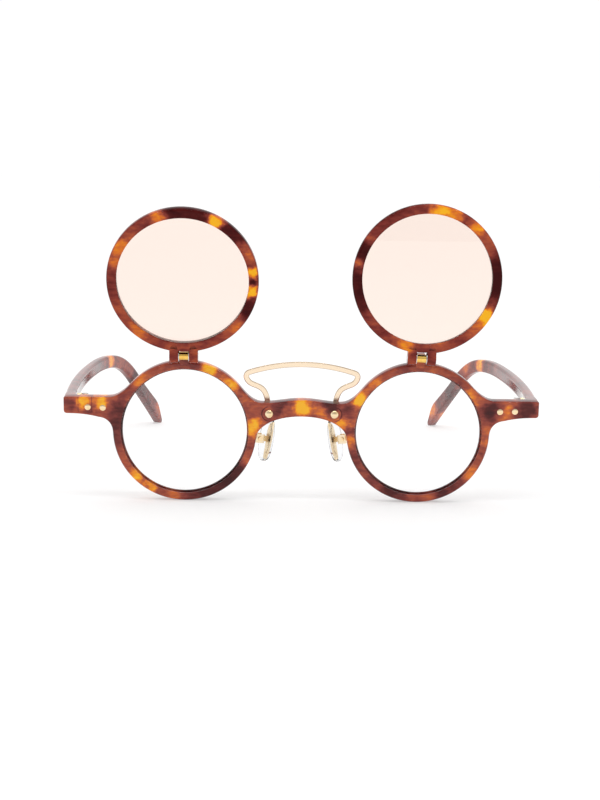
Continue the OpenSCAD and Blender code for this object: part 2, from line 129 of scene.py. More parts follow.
# From the end piece's side and from its top
RIVETS = ((7.1, 3.05), (11.5, 3.2))
BALL_D = 2.55
BALL_HEIGHT = 0.62
BALL_SHANK_R = 0.65
BALL_NUT_R = 0.95
BALL_NUT_H = 0.35
# The radius that closes a turned shape at its axis
AXIS = 0.0001
EYELET = (9.65, 5.6)
EYELET_R = 2.1
EYELET_STEM = ((1.0, -3.0), (-0.6, -3.0))
EYELET_PLAY = 0.04
STRIP_W = 1.6
STRIP_T = 0.6
STRIP_EDGE = 0.25
LOOP_TOP = 20.5
LOOP_HALF = 17.4
LOOP_R = 50.0
LOOP_CORNER_IN = 1.8
LOOP_CORNER_R = 1.3
# The loop's corner starts at 75 degrees less the arc's end and runs to 25 degrees below level
LOOP_TURN = (75, 25)
PAD = (14.0, 7.0, 2.2)
PAD_PLACE = (10.4, 6.6, -4.0)
PAD_LEAN = 10.0
PAD_SPLAY = 28.0
# A pad's two faces, as (share of its rim, height) with PAD_TOP for the whole half thickness
PAD_TOP = 1.1
PAD_CROWN = ((1.0, -0.15), (0.985, -0.5), (0.93, -0.8), (0.8, -1.0), (0.6, -1.08), (0.35, -1.1))
PAD_BACK = ((1.0, 0.2), (0.98, 0.5), (0.92, 0.7), (0.8, 0.82), (0.6, 0.86), (0.35, 0.88))
PAD_BACK_MIDDLE = 0.8

# How many flat sides stand for a round, and the angle in degrees up to which two faces shade as one
ROUND_SIDES = 128
FLIP_SIDES = 160
ROD_SIDES = 64
RIVET_SIDES = 48
SMOOTH = 35.0
PAD_SMOOTH = 60.0


# ---------------------------------------------------------------- outlines


def steps(start, end, count):
    """Evenly spaced numbers from start to end."""
    return [start + (end - start) * i / count for i in range(count + 1)]


def arc(centre, radius, start, end, count):
    """Points on an arc between two angles in degrees."""
    angles = [math.radians(a) for a in steps(start, end, count)]
    return [Vector((centre[0] + radius * math.cos(a), centre[1] + radius * math.sin(a))) for a in angles]


def cubic(curve, t):
    """The point at t on a cubic curve given by its four handles."""
    a, b, c, d = (Vector(p) for p in curve)
    return (1 - t) ** 3 * a + 3 * (1 - t) ** 2 * t * b + 3 * (1 - t) * t * t * c + t ** 3 * d


def bezier(a, b, c, d, count):
    """Points on a cubic curve."""
    return [cubic((a, b, c, d), t) for t in steps(0, 1, count)]


def mirrored(points):
    """The same line on the other side, in the opposite order."""
    return [Vector((-p.x, p.y)) for p in reversed(points)]


def spaced(points, least=0.02):
    """A closed line without its repeated points."""
    kept = []
    for p in points:
        if not kept or (p - kept[-1]).length > least:
            kept.append(p)
    if (kept[0] - kept[-1]).length <= least:
        kept.pop()
    return kept


def turning(points):
    """Twice the area inside a closed line, above 0 if it runs anticlockwise."""
    return sum(a.x * b.y - b.x * a.y for a, b in zip(points, points[1:] + points[:1]))


def inset(points, amounts):
    """A closed anticlockwise line moved inwards by an amount at each point, up to twice that at corners."""
    least_stretch = 0.5
    result = []
    for i, p in enumerate(points):
        before = (p - points[i - 1]).normalized()
        after = (points[(i + 1) % len(points)] - p).normalized()
        inward = Vector((-before.y - after.y, before.x + after.x)).normalized()
        stretch = max(least_stretch, inward.dot(Vector((-before.y, before.x))))
        result.append(p + inward * amounts[i] / stretch)
    return result


# ---------------------------------------------------------------- shapes, as (points, faces)


def ring_faces(loops, size):
    """Quads between closed loops of the same number of points."""
    return [
        (k * size + i, k * size + (i + 1) % size, (k + 1) * size + (i + 1) % size, (k + 1) * size + i)
        for k in range(loops - 1) for i in range(size)
    ]


def together(*shapes):
    """Several shapes as one."""
    points, faces = [], []
    for more_points, more_faces in shapes:
        faces += [tuple(i + len(points) for i in f) for f in more_faces]
        points += more_points
    return points, faces


def moved(shape, matrix):
    """A shape in another place. A mirror keeps its faces outward."""
    points, faces = shape
    turned = [tuple(reversed(f)) for f in faces] if matrix.determinant() < 0 else faces
    return [matrix @ p for p in points], turned


def lathe(profile, count):
    """A closed line of (radius, y) points turned round the Y axis."""
    size = len(profile)
    points = [
        Vector((r * math.cos(a), y, r * math.sin(a)))
        for a in (2 * math.pi * i / count for i in range(count)) for r, y in profile
    ]
    faces = []
    for i in range(count):
        here, there = i * size, (i + 1) % count * size
        for k in range(size):
            after = (k + 1) % size
            faces.append((here + k, here + after, there + after, there + k))
    return points, faces


def rounding(edge):
    """How a slab's edge goes from its wall to its face, as (way in, way off the face) pairs."""
    angles = [math.radians(a) for a in steps(0, 90, 5)]
    return [(edge * (1 - math.cos(a)), edge * (1 - math.sin(a))) for a in angles] + [(edge + SUPPORT, 0.0)]


def slab(outline, thickness, edges, holes=(), wall=()):
    """A plate with rounded edges, drawn in X and Z and lying evenly on both sides of y = 0.

    edges is the edge radius, one number or one for each point. holes are closed lines with roundings of
    INNER_EDGE, and wall is what lies between a hole's two roundings, as (way in, y) pairs.
    """
    half = thickness / 2
    parts, rims = [], []
    for line in [outline, *holes]:
        hole = line is not outline
        line = spaced(line)
        if (turning(line) > 0) == hole:
            line.reverse()
        if hole:
            radii = [INNER_EDGE] * len(line)
        elif hasattr(edges, "__len__"):
            radii = edges
        else:
            radii = [edges] * len(line)
        rounds = [rounding(r) for r in radii]
        loops = []
        for k in reversed(range(len(rounds[0]))):
            flat = inset(line, [r[k][0] for r in rounds])
            loops.append([Vector((p.x, -half + r[k][1], p.y)) for p, r in zip(flat, rounds)])
        for way, y in wall if hole else ():
            loops.append([Vector((p.x, y, p.y)) for p in inset(line, [way] * len(line))])
        for k in range(len(rounds[0])):
            flat = inset(line, [r[k][0] for r in rounds])
            loops.append([Vector((p.x, half - r[k][1], p.y)) for p, r in zip(flat, rounds)])
        parts.append(([p for loop in loops for p in loop], ring_faces(len(loops), len(line))))
        rims.append((len(loops), len(line)))
    points, faces = together(*parts)
    first, flat, lines = 0, [], []
    for loops, size in rims:
        lines.append(list(range(len(flat), len(flat) + size)))
        flat += [(first + i, first + (loops - 1) * size + i) for i in range(size)]
        first += loops * size
    spots = [Vector((points[i].x, points[i].z)) for i, _ in flat]
    _, _, triangles, origin, _, _ = delaunay_2d_cdt(spots, [], lines, 1, 1e-6)
    for triangle in triangles:
        a, b, c = (origin[i][0] for i in triangle)
        if any(line[0] <= min(a, b, c) and max(a, b, c) <= line[-1] for line in lines[1:]):
            continue
        faces.append((flat[a][0], flat[b][0], flat[c][0]))
        faces.append((flat[c][1], flat[b][1], flat[a][1]))
    return points, faces


def box_outline(x0, x1, z0, z1, corner):
    """A rectangle with round corners."""
    spots = ((x1 - corner, z1 - corner, 90, 0), (x1 - corner, z0 + corner, 0, -90),
             (x0 + corner, z0 + corner, 270, 180), (x0 + corner, z1 - corner, 180, 90))
    return [p for x, z, a, b in spots for p in arc((x, z), corner, a, b, 4)]


# ---------------------------------------------------------------- places


def turn(angle, axis):
    """A turn in degrees about an axis."""
    return Matrix.Rotation(math.radians(angle), 4, axis)


def lens_place(node, across=(1, 0, 0)):
    """A lens's own frame and its edge's radius: X along across, Y out of its back, Z up in its plane."""
    points = [v.co for v in frame["nodes"][node].data.vertices]
    top, bottom = max(points, key=lambda p: p.z), min(points, key=lambda p: p.z)
    left, right = min(points, key=lambda p: p.x), max(points, key=lambda p: p.x)
    x = Vector(across).normalized()
    y = (top - bottom).cross(x).normalized()
    z = x.cross(y)
    middle = Vector(((left.x + right.x) / 2, (top.y + bottom.y) / 2, (top.z + bottom.z) / 2))
    place = Matrix((x, y, z)).transposed().to_4x4()
    place.translation = middle
    return place, (top - bottom).length / 2 / MM


joints = {j["name"]: j for j in frame["joints"]}
left_lens, lens_edge = lens_place("lens_left")
right_lens, _ = lens_place("lens_right")
front_place = left_lens.copy()
front_place.translation = (left_lens.translation + right_lens.translation) / 2
HALF = (right_lens.translation.x - left_lens.translation.x) / 2 / MM
OPEN_R = lens_edge - GROOVE
RIM_R = OPEN_R + RIM_W
FRONT_W = (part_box("front")[1].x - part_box("front")[0].x) / MM
END_X = FRONT_W / 2
flip_places = {}
for name in SIDES:
    flip_places[name], flip_edge = lens_place("flip_lens_" + name, joints["flip_" + name]["axis"])
FLIP_OPEN_R = flip_edge - GROOVE
FLIP_R = FLIP_OPEN_R + FLIP_RIM_W
pin = Vector(joints["flip_left"]["pos_m"])
DROP = (pin - flip_places["left"].translation).length / MM
PIN_Y = (front_place.inverted() @ pin).y / MM
PIN_Z = (front_place.inverted() @ pin).z / MM
lens_line = front_place.translation.z / MM
seat_y = front_place.translation.y / MM
LEAN = math.degrees(math.atan2(-front_place[1][2], front_place[2][2]))
LEVEL_TOP = lens_line + END_TOP * math.cos(math.radians(LEAN)) - LEVEL_UNDER
TEMPLE_X = END_X - TEMPLE_T / 2
TIP_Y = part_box("temple_right")[1].y / MM - seat_y


def on_side(side):
    """Mirrors a right-hand shape for the left."""
    return Matrix.Diagonal((side, 1, 1, 1))


def shift(x, y, z):
    """A move without a turn."""
    return Matrix.Translation((x, y, z))


def crosswise(x):
    """Turns a plate drawn in X and Z to lie in Y and Z, at a distance x across."""
    return Matrix(((0, 1, 0, x), (1, 0, 0, 0), (0, 0, 1, 0), (0, 0, 0, 1)))


def on_rim(angle):
    """A point on the outside of the right-hand rim."""
    return Vector((HALF + RIM_R * math.cos(math.radians(angle)), RIM_R * math.sin(math.radians(angle))))


# ---------------------------------------------------------------- making pieces


def mesh_of(name, shape):
    """A mesh in metres from a shape in millimetres."""
    mesh = bpy.data.meshes.new(name)
    mesh.from_pydata([p * MM for p in shape[0]], [], shape[1])
    mesh.validate()
    return mesh


def piece(name, shape, place, material, smooth=SMOOTH):
    """A mesh object from a shape in millimetres, at a place in the row frame."""
    obj = bpy.data.objects.new(name, mesh_of(name, shape))
    bpy.context.scene.collection.objects.link(obj)
    obj.matrix_world = place
    obj.data.materials.append(material)
    finish_mesh(obj, smooth)
    return obj


def finish_mesh(obj, smooth):
    """Smooth shading, with sharp edges where faces meet at more than this many degrees."""
    for face in obj.data.polygons:
        face.use_smooth = True
    obj.data.set_sharp_from_angle(angle=math.radians(smooth))


def cut(obj, shapes, operation):
    """Adds the shapes to obj, or takes them away, for good."""
    for shape in shapes:
        tool = bpy.data.objects.new("tool", mesh_of("tool", shape))
        bpy.context.scene.collection.objects.link(tool)
        tool.matrix_world = obj.matrix_world
        change = obj.modifiers.new("change", "BOOLEAN")
        change.operation, change.solver, change.object = operation, "EXACT", tool
        bpy.context.view_layer.update()
        result = bpy.data.meshes.new_from_object(obj.evaluated_get(bpy.context.evaluated_depsgraph_get()))
        obj.modifiers.clear()
        obj.data = result
        bpy.data.objects.remove(tool)
    finish_mesh(obj, SMOOTH)


def fit(obj, body, slot, *nodes):
    """Puts a piece on its body and hides the frame's nodes it stands for. slot, its finish, is not used."""
    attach(obj, body)
    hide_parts(*nodes)


# ---------------------------------------------------------------- shader maths


class Wire:
    """One output of a shader node. Sums on it add Math nodes, and node() adds any other kind."""

    def __init__(self, tree, output=None):
        self.tree, self.output = tree, output

    def node(self, kind, settings=None, inputs=None, output=0):
        """A node of that kind: its settings first, then the values or links of its sockets."""
        new = self.tree.nodes.new(kind)
        for name, value in (settings or {}).items():
            if name == "stops":
                set_stops(new.color_ramp, value)
            else:
                setattr(new, name, value)
        for socket, value in (inputs or {}).items():
            if isinstance(value, Wire):
                self.tree.links.new(value.output, new.inputs[socket])
            else:
                new.inputs[socket].default_value = value
        return Wire(self.tree, new.outputs[output] if new.outputs else None)

    def math(self, operation, a, b):
        return self.node("ShaderNodeMath", {"operation": operation}, {0: a, 1: b})

    def __add__(self, other):
        return self.math("ADD", self, other)

    def __sub__(self, other):
        return self.math("SUBTRACT", self, other)

    def __rsub__(self, other):
        return self.math("SUBTRACT", other, self)

    def __mul__(self, other):
        return self.math("MULTIPLY", self, other)

    __radd__ = __add__
    __rmul__ = __mul__

    def between(self, low, high):
        """0 below low, 1 above high and smooth between them."""
        return self.node("ShaderNodeMapRange", {"interpolation_type": "SMOOTHSTEP"},
                         {"Value": self, "From Min": low, "From Max": high})


def set_stops(ramp, stops):
    """Gives a colour ramp its colours, as (position, colour) pairs."""
    while len(ramp.elements) < len(stops):
        ramp.elements.new(1.0)
    for element, (position, colour) in zip(ramp.elements, stops):
        element.position, element.color = position, (*colour, 1.0)


def new_material(name):
    """A material with an empty tree, and the wire that starts it."""
    material = bpy.data.materials.new(name)
    material.use_nodes = True
    material.node_tree.nodes.clear()
    return material, Wire(material.node_tree)


def surface(start, values):
    """Ends a tree in one Principled shader."""
    shader = start.node("ShaderNodeBsdfPrincipled", None, values)
    start.node("ShaderNodeOutputMaterial", None, {"Surface": shader})


def vector_math(operation, *values, output="Vector"):
    """A Vector Math node on these values, the first of them a wire."""
    return values[0].node("ShaderNodeVectorMath", {"operation": operation}, dict(enumerate(values)), output)


def coordinate(at, axis):
    """One coordinate of a point."""
    return at.node("ShaderNodeSeparateXYZ", None, {0: at}, axis)


def off_middle(at):
    """How far a point lies in front of or behind its piece's middle plane."""
    across = coordinate(at, "Y")
    return across.node("ShaderNodeMath", {"operation": "ABSOLUTE"}, {0: across})


def mixed(share, first, second):
    """A colour that goes from first to second as share goes from 0 to 1."""
    return share.node("ShaderNodeMix", {"data_type": "RGBA"},
                      {"Factor": share, 6: (*first, 1), 7: (*second, 1)}, 2)


def millimetres(start):
    """Where the point lies in its piece's own frame, in millimetres."""
    at = start.node("ShaderNodeTexCoord", None, None, "Object")
    return vector_math("MULTIPLY", at, (1 / MM,) * 3)


def grain(at, scale, detail, roughness=0.5):
    """Smooth noise, about 0 to 1, with lumps 1 / scale millimetres across."""
    return at.node("ShaderNodeTexNoise", None,
                   {"Vector": at, "Scale": scale, "Detail": detail, "Roughness": roughness}, "Fac")


# ---------------------------------------------------------------- materials

TORTOISE = (
    (0.00, (0.045, 0.0020, 0.0025)),
    (0.22, (0.085, 0.0075, 0.0065)),
    (0.42, (0.215, 0.034, 0.026)),
    (0.60, (0.410, 0.082, 0.038)),
    (0.76, (0.720, 0.170, 0.024)),
    (0.90, (0.930, 0.330, 0.012)),
    (1.00, (0.980, 0.480, 0.018)),
)


# How the tortoise sheet's clouds run: pushes and squeezes along X, Y and Z, then shares of the whole
SWIRL = (6, 3, 4.5)
STREAKS = (0.45, 1, 1.3)
CLOUD_SHARE = 0.7
STREAK_SHARE = 0.45
SPOT_CORE = 0.25
RING_LINE = (0.2, 0.3)
RING_DARK = 0.35
PLATE_LINE = 0.16
PLATE_DARK = 0.3
# Painted shade on the sheet's side walls: how far inside the faces it fades in, as (far, near), and how much
# darker it makes them
WALL_SHADE_BAND = (0.6, 0.05)
WALL_SHADE_AMOUNT = 0.14
POLISH = 0.03
WEAR = 0.06
SCRATCH = 0.04
SCRATCH_DEPTH = 0.0002
THIN_IN_Y = (1, 0.2, 1)
THIN_IN_X = (0.2, 1, 1)


def clouds(at, shifted, base, spots, through):
    """How amber the sheet is at a point: noise about base, and a patch for each spot."""
    swirl = at.node("ShaderNodeTexNoise", None,
                    {"Vector": shifted, "Scale": 0.3, "Detail": 5.0, "Roughness": 0.6}, "Color")
    centred = vector_math("SUBTRACT", swirl, (0.5, 0.5, 0.5))
    warped = vector_math("MULTIPLY", vector_math("MULTIPLY_ADD", centred, SWIRL, at), through)
    drawn = vector_math("MULTIPLY", shifted, STREAKS)
    broad = (grain(shifted, 0.16, 3.0, 0.5) - 0.5) * CLOUD_SHARE
    fine = (grain(drawn, 0.7, 3.0, 0.55) - 0.5) * STREAK_SHARE
    depth = broad + fine + base
    for x, y, z, size, amount in spots:
        squeezed = [a * b for a, b in zip((x, y, z), through)]
        away = vector_math("DISTANCE", warped, squeezed, output="Value")
        depth = depth + (1 - away.between(SPOT_CORE * size, size)) * amount
    return depth


def eyelet_line(at, x, z, radius):
    """1 along the outer half of an eyelet's rim, which shows through the sheet."""
    inner, outer = RING_LINE
    away = vector_math("DISTANCE", vector_math("MULTIPLY", at, (1, 0, 1)), (x, 0, z), output="Value")
    across = coordinate(at, "X") * math.copysign(1, x)
    ring = away.between(radius - inner, radius) * (1 - away.between(radius, radius + outer))
    return ring * across.between(abs(x), abs(x) + 1)


def plate_line(at, x, z, wide, high):
    """1 along the outline of a hinge plate, which shows through the sheet."""
    middle = vector_math("ABSOLUTE", vector_math("SUBTRACT", at, (x, 0, z)))
    off_x = coordinate(middle, "X") - wide
    off = off_x.math("MAXIMUM", off_x, coordinate(middle, "Z") - high)
    return off.between(-PLATE_LINE, 0.0) * (1 - off.between(0.0, PLATE_LINE))


def acetate(name, spots, seed, base, gloss, wall_from=None, through=THIN_IN_Y, rings=(), plates=()):
    """Polished tortoise sheet: dark and amber clouds where spots say, as (x, y, z, size, amount).

    through squeezes the distances in the sheet's thin direction. rings are the rims of eyelets that show
    through the sheet, as (x, z, radius), and plates are hinge plates, as (x, z, half width, half height).
    wall_from is where the sheet's side walls start, seen across it. The walls inside it are painted darker,
    as painted shade.
    """
    material, start = new_material(name)
    at = millimetres(start)
    shifted = vector_math("ADD", at, (seed, 0.7 * seed, 0))
    depth = clouds(at, shifted, base, spots, through)
    for ring in rings:
        depth = depth - eyelet_line(at, *ring) * RING_DARK
    for plate in plates:
        depth = depth - plate_line(at, *plate) * PLATE_DARK
    # Painted shade: the sheet's side walls are coloured darker than its faces.
    if wall_from is not None:
        far, near = WALL_SHADE_BAND
        depth = depth - (1 - off_middle(at).between(wall_from - far, wall_from - near)) * WALL_SHADE_AMOUNT
    colour = at.node("ShaderNodeValToRGB", {"stops": TORTOISE}, {"Fac": depth})
    worn = grain(shifted, 2.5, 4.0, 0.65)
    lift = at.node("ShaderNodeBump", None,
                   {"Strength": SCRATCH, "Distance": SCRATCH_DEPTH, "Height": worn}, "Normal")
    surface(start, {"Base Color": colour, "Roughness": worn * WEAR + POLISH, "Normal": lift,
                    "Specular IOR Level": gloss})
    return material


def metal(name, colour, shade, roughness):
    """Plated metal: a brushed grain, slightly darker in its low spots."""
    material, start = new_material(name)
    at = millimetres(start)
    fine = grain(at, 6.0, 5.0, 0.7)
    tone = mixed(grain(at, 0.5, 3.0).between(0.3, 0.75), colour, shade)
    lift = at.node("ShaderNodeBump", None, {"Strength": 0.05, "Distance": 0.00005, "Height": fine}, "Normal")
    surface(start, {"Base Color": tone, "Metallic": 1.0, "Roughness": fine * 0.12 + roughness,
                    "Normal": lift})
    return material


def strip_metal_edge_shade(name, colour, side, flat_from):
    """The brow wire's gilt: its own colour on the flat faces, and painted shade, the darker side colour,
    along its thin edges.
    """
    material, start = new_material(name)
    at = millimetres(start)
    # Painted shade: the thin edges take the darker side colour.
    tone = mixed(off_middle(at).between(flat_from - 0.12, flat_from - 0.02), side, colour)
    fine = grain(at, 5.0, 5.0, 0.7)
    surface(start, {"Base Color": tone, "Metallic": 1.0, "Roughness": fine * 0.1 + 0.16})
    return material


def glass(name, colour, ior, roughness=0.0, haze=0.0):
    """A clear moulding or lens. haze is how much its smears roughen it."""
    material, start = new_material(name)
    at = millimetres(start)
    smear = grain(at, 0.12, 3.0, 0.6).between(0.35, 0.75)
    surface(start, {"Base Color": (*colour, 1), "Roughness": smear * haze + roughness, "IOR": ior,
                    "Transmission Weight": 1.0})
    return material


def paper(name, colour, roughness, glow):
    """The floor's matt paper, with a little light of its own."""
    material, start = new_material(name)
    at = millimetres(start)
    tone = mixed(grain(at, 0.01, 3.0), colour, [c * 0.98 for c in colour])
    surface(start, {"Base Color": tone, "Roughness": roughness, "Emission Color": (1, 1, 1, 1),
                    "Emission Strength": glow})
    return material


GOLD = metal("gilt", (0.93, 0.76, 0.50), (0.88, 0.64, 0.35), 0.12)
# The brow wire's gilt, with a dark brown painted shade along its thin edges.
PALE_GOLD = strip_metal_edge_shade("pale_gilt", (0.92, 0.75, 0.56), (0.42, 0.28, 0.16), STRIP_T / 2)
PALE_WIRE = metal("pale_gilt_wire", (0.93, 0.78, 0.56), (0.88, 0.68, 0.42), 0.15)
BRASS = metal("gilt_barrel", (0.97, 0.64, 0.16), (0.90, 0.50, 0.10), 0.12)
STEEL = metal("nickel", (0.82, 0.80, 0.78), (0.70, 0.67, 0.64), 0.2)
CLEAR = glass("clear_lens", (1.0, 1.0, 1.0), 1.5)
TINT = glass("peach_lens", (0.98, 0.83, 0.75), 1.5)
SILICONE = glass("silicone", (0.90, 0.91, 0.93), 1.41, 0.03, 0.05)


def round_spots(radius, spots, centre=0.0):
    """Spots round a rim, given as (angle, size, amount)."""
    return [
        (centre + radius * math.cos(math.radians(a)), 0, radius * math.sin(math.radians(a)), size, amount)
        for a, size, amount in spots
    ]


# Angles anticlockwise from the viewer's right, sizes in millimetres, amounts towards amber or, below 0, dark
LEFT_FLIP = [(62, 3.2, 0.55), (80, 5, -0.35), (95, 4, -0.3), (111, 3.4, 0.32), (150, 3.6, 0.3), (164, 3, 0.2),
             (45, 6, -0.35), (22, 3, 0.1), (9, 2.6, 0.6), (1, 1.6, -0.4), (-8, 3, 0.55), (-22, 5, -0.3),
             (-45, 5, 0.15), (228, 4.5, 0.25), (185, 6, -0.1), (205, 5, 0.05)]
RIGHT_FLIP = [(84, 4, 0.5), (72, 4, 0.35), (50, 3.8, 0.45), (35, 4, 0.1), (8, 8, -0.45), (-6, 6, -0.4),
              (-29, 4, 0.62), (-45, 4, 0.12), (120, 7, -0.15), (160, 5, -0.45), (168, 2.2, 0.3),
              (186, 7, -0.5), (203, 5, -0.2), (-103, 4, 0.3), (-70, 5, 0.05), (225, 6, -0.05)]
LEFT_RIM = [(70, 3.4, 0.4), (46, 3.4, 0.4), (30, 3, 0.2), (222, 3.4, 0.4), (240, 3.0, 0.42), (-40, 6, -0.4),
            (-60, 7, -0.45), (-80, 6, -0.2), (92, 6, -0.1), (128, 4, 0.15), (178, 8, -0.25), (3, 3.4, 0.35),
            (262, 4, 0.1)]
RIGHT_RIM = [(149, 3.6, 0.42), (134, 3, 0.2), (100, 8, -0.05), (38, 4, 0.15), (16, 4, -0.15), (-4, 4, 0.02),
             (-7, 2.4, 0.2), (-36, 4, 0.15), (187, 3.2, 0.3), (180, 3, -0.2), (205, 6, -0.2), (225, 6, -0.15),
             (250, 6, -0.3), (235, 2, 0.1), (-60, 8, -0.25), (-25, 5, -0.1), (60, 6, 0.0)]
# On the bridge and the end pieces: x, y and z from the front's middle, size and amount
BRIDGE = [(0, 0, 7.8, 4.0, 0.5), (5.5, 0, 6.2, 3.2, 0.25), (-7.0, 0, 7.4, 3.4, -0.25),
          (8.6, 0, 8.2, 3.4, -0.35), (-12.5, 0, 2.6, 3.0, 0.25), (12.2, 0, 3.0, 2.8, 0.25),
          (16, 0, 9, 2.6, 0.2), (13.5, 0, 6, 3, -0.15)]
ENDS = [(-64.0, 0, 9.0, 3.2, 0.5), (-59.2, 0, 8.6, 3.4, 0.45), (-68.3, 0, 7.5, 2.6, -0.1),
        (-52.8, 0, 7.0, 4, -0.25), (-62, 0, 5.2, 4, -0.1), (66.4, 0, 7.5, 4.6, -0.36),
        (60.8, 0, 7.4, 2.6, 0.2), (55.8, 0, 7.4, 4, -0.3)]


# Along the right-hand temple, or its mirror image: x, y and z from the front's middle, size and amount
LEFT_TEMPLE = [(69, 30, 29, 5, -0.1), (69, 78, 29, 7, -0.1), (67, 92, 29, 4.5, 0.55), (65, 104, 27, 6, 0.15),
               (60, 118, 18, 9, -0.3), (54, 130, 6, 4, 0.35)]
RIGHT_TEMPLE = [(69, 30, 29, 5, -0.1), (67, 95, 29, 5, 0.45), (64, 108, 26, 6, 0.25), (60, 119, 17, 7, -0.25),
                (54, 130, 7, 6, 0.45)]

# How far inside a rim's outer edge its spots lie
SPOT_IN = 1.2
HINGE_PLATE = (-63.7, 8.0, 2.0, 2.4)


# ---------------------------------------------------------------- the acetate front

# The wall of an opening with its lens groove, as (way in, y)
LENS_WALL = ((0.0, -GROOVE), (-GROOVE, 0.0), (0.0, GROOVE))


def front_outline():
    """The front's outline, anticlockwise."""
    flank, shoulder = on_rim(BRIDGE_FLANK), on_rim(END_SHOULDER)
    low_foot, foot = on_rim(END_LOW), on_rim(BRIDGE_FOOT)
    off_flank = math.radians(180 - BRIDGE_FLANK)
    off_shoulder = math.radians(END_SHOULDER)
    dip = Vector((HALF - RIM_R - 1.8, BRIDGE_TOP - BRIDGE_DIP))
    low = END_TOP - END_H
    right = (
        bezier((0, BRIDGE_TOP), (4, BRIDGE_TOP), dip - Vector((4, 0)), dip, 10)
        + bezier(dip, dip + Vector((2.5, 0)),
                 flank - 4 * Vector((math.sin(off_flank), math.cos(off_flank))), flank, 10)
        + arc((HALF, 0), RIM_R, BRIDGE_FLANK, END_SHOULDER, 48)
        + bezier(shoulder, shoulder + 3.2 * Vector((math.sin(off_shoulder), -math.cos(off_shoulder))),
                 (shoulder.x + 4.3, END_TOP), (shoulder.x + 6.7, END_TOP), 10)
        + [Vector((x, END_TOP)) for x in steps(shoulder.x + 7.5, END_X - 1.2, 6)]
        + arc((END_X - END_CORNER, END_TOP - END_CORNER), END_CORNER, 90, 0, 5)
        + arc((END_X - END_FOOT, low + END_FOOT), END_FOOT, 0, -90, 6)
        + bezier((END_X - 1.4, low), (END_X - 6, low),
                 (low_foot.x + 5.5, low - 0.7), (low_foot.x + 4.3, low - 1), 8)
        + bezier((low_foot.x + 4.3, low - 1), (low_foot.x + 1.6, low - 1.3),
                 (low_foot.x + 0.2, 2.4), low_foot, 10)
        + arc((HALF, 0), RIM_R, END_LOW, BRIDGE_FOOT - 360, 84)
        + bezier(foot, (foot.x - 0.4, 2), (7.5, BRIDGE_LOW), (0, BRIDGE_LOW), 14)
    )
    line = spaced(right + mirrored(right))
    line.reverse()
    return line


def edge_at(p):
    """Wide roundings on the rims, small ones on the bridge and the end pieces."""
    away = min((p - Vector((side * HALF, 0))).length for side in (LEFT, RIGHT))
    share = min(1.0, max(0.0, (away - RIM_R) / EDGE_BLEND))
    return EDGE + (SMALL_EDGE - EDGE) * share * share * (3 - 2 * share)


def lug_shape(side):
    """The block on top of a rim that carries the hinge barrel."""
    low = RIM_R - RIM_W / 2
    outline = box_outline(PIN_Y + LUG_FROM, LUG_BACK, low, PIN_Z + LUG_OVER, LUG_CORNER)
    return moved(slab(outline, BARREL_W, LUG_EDGE), crosswise(side * HALF))


def make_front():
    line = front_outline()
    holes = [arc((side * HALF, 0), OPEN_R, 0, 360, ROUND_SIDES)[:-1] for side in (LEFT, RIGHT)]
    shape = slab(line, FRONT_T, [edge_at(p) for p in line], holes, LENS_WALL)
    spots = (round_spots(RIM_R - SPOT_IN, LEFT_RIM, -HALF) + round_spots(RIM_R - SPOT_IN, RIGHT_RIM, HALF)
             + BRIDGE + ENDS)
    tortoise = acetate("tortoise_front", spots, seed=3.1, base=0.55, gloss=0.30, wall_from=FRONT_T / 2,
                       rings=[(side * EYELET[0], EYELET[1], EYELET_R) for side in (LEFT, RIGHT)],
                       plates=[HINGE_PLATE])
    obj = piece("acetate_front", shape, front_place, tortoise)
    cut(obj, [lug_shape(side) for side in (LEFT, RIGHT)], "UNION")
    fit(obj, "frame", "tortoise_acetate", "front")


def lens_shape(opening, thickness):
    """A shallow meniscus with a bevelled edge."""
    edge = opening - LENS_PLAY
    sag = LENS_CURVE - math.sqrt(LENS_CURVE * LENS_CURVE - edge * edge)
    span = math.degrees(math.asin(edge / LENS_CURVE))
    front_y, back_y = sag + thickness / 2 - LENS_CURVE, sag - thickness / 2 - LENS_CURVE
    front = [(p.x, -p.y) for p in arc((0, front_y), LENS_CURVE, 90, 90 - span, 14)]
    back = [(p.x, -p.y) for p in arc((0, back_y), LENS_CURVE, 90 - span, 90, 14)]
    half_line = front[1:] + [(edge, -GROOVE), (edge + GROOVE, 0), (edge, GROOVE)] + back[:-1]
    points, faces = [], []
    size = len(half_line)
    for i in range(ROUND_SIDES):
        a = 2 * math.pi * i / ROUND_SIDES
        points += [Vector((r * math.cos(a), y, r * math.sin(a))) for r, y in half_line]
        here, there = i * size, (i + 1) % ROUND_SIDES * size
        faces += [(here + k, here + k + 1, there + k + 1, there + k) for k in range(size - 1)]
    points += [Vector((0, front[0][1], 0)), Vector((0, back[-1][1], 0))]
    for i in range(ROUND_SIDES):
        here, there = i * size, (i + 1) % ROUND_SIDES * size
        faces.append((len(points) - 2, here, there))
        faces.append((there + size - 1, here + size - 1, len(points) - 1))
    return points, faces


def make_lens(name, place):
    """A clear lens of the front."""
    lens = piece("lens_" + name + "_clear", lens_shape(OPEN_R, LENS_T), place, CLEAR)
    fit(lens, "frame", "clear_lens", "lens_" + name)


# ---------------------------------------------------------------- the flip rims


